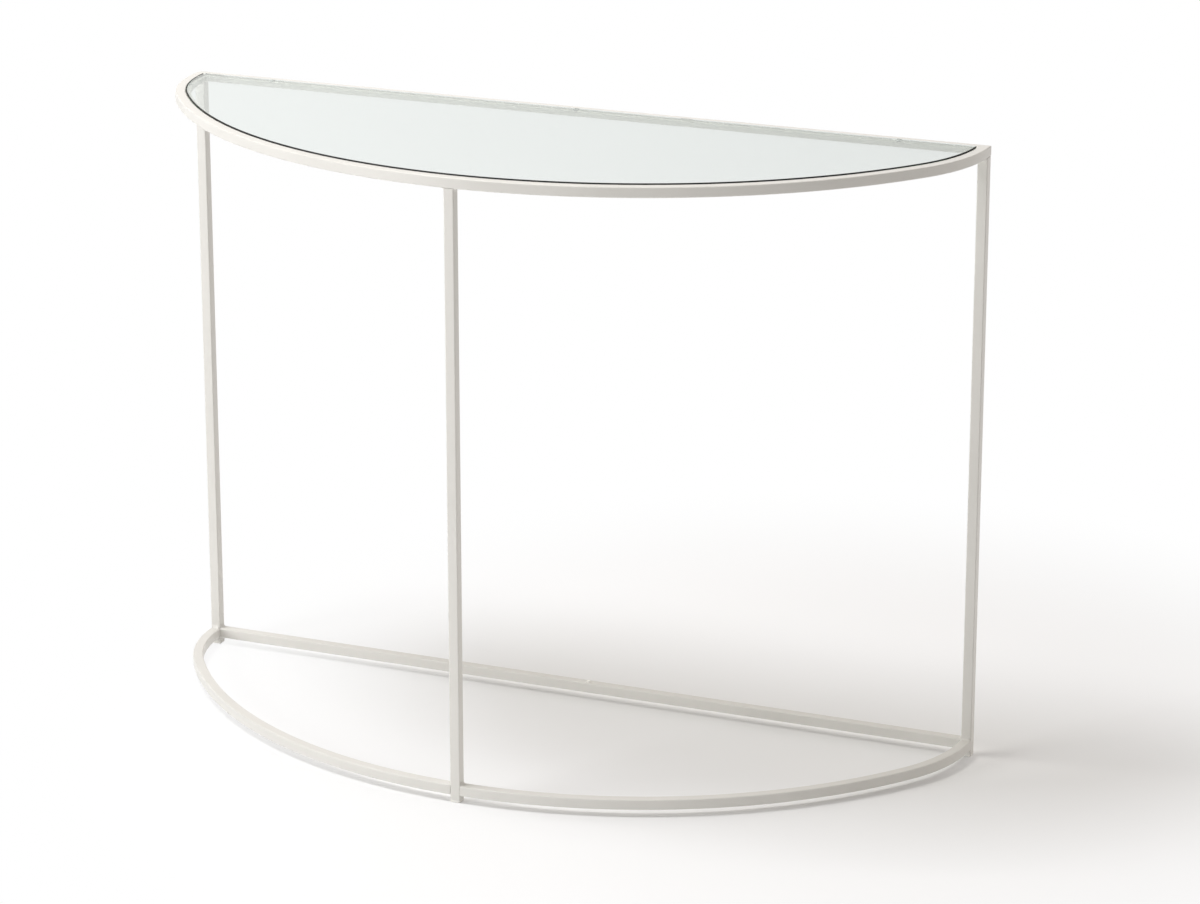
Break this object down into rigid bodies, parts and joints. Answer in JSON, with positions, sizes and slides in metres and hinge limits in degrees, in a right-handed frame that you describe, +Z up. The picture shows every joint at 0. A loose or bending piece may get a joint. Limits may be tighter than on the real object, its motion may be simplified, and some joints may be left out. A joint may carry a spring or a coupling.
{
  "type": "demilune console table",
  "caption": "Half-moon console table with a welded white square-tube frame, D-shaped rings at the top and the floor, slim legs, and a drop-in clear glass top edged in thin black.",
  "frame": {"origin": "on the floor, under the middle of the table's box", "axes": "+Z up, X along the straight back, curved front towards -Y, back against the wall at +Y"},
  "size_m": [1.04, 0.385, 0.7634],
  "materials": {
    "frame_paint": "satin white powder coat",
    "clear_glass": "polished clear float glass, faintly green",
    "black_rubber": "matt black extruded rubber",
    "clear_bumper": "clear soft polyurethane",
    "white_nylon": "moulded white nylon"
  },
  "bodies": {
    "frame": {"top_front_arc": "frame_paint", "top_back_rail": "frame_paint", "left_leg": "frame_paint", "right_leg": "frame_paint", "front_leg": "frame_paint", "base_left_arc": "frame_paint", "base_right_arc": "frame_paint", "base_back_rail": "frame_paint", "arc_glass_ledge": "frame_paint", "back_glass_ledge": "frame_paint", "left_foot_glide": "white_nylon", "right_foot_glide": "white_nylon", "front_foot_glide": "white_nylon", "rail_hole_plug": "white_nylon", "glass_bumpers": "clear_bumper"},
    "glass": {"glass_top": "clear_glass", "glass_edge_trim": "black_rubber"}
  },
  "joints": [
    {"name": "glass_lift", "type": "slide", "parent": "frame", "child": "glass", "axis": [0, 0, 1], "range_m": [0, 0.12]}
  ]
}
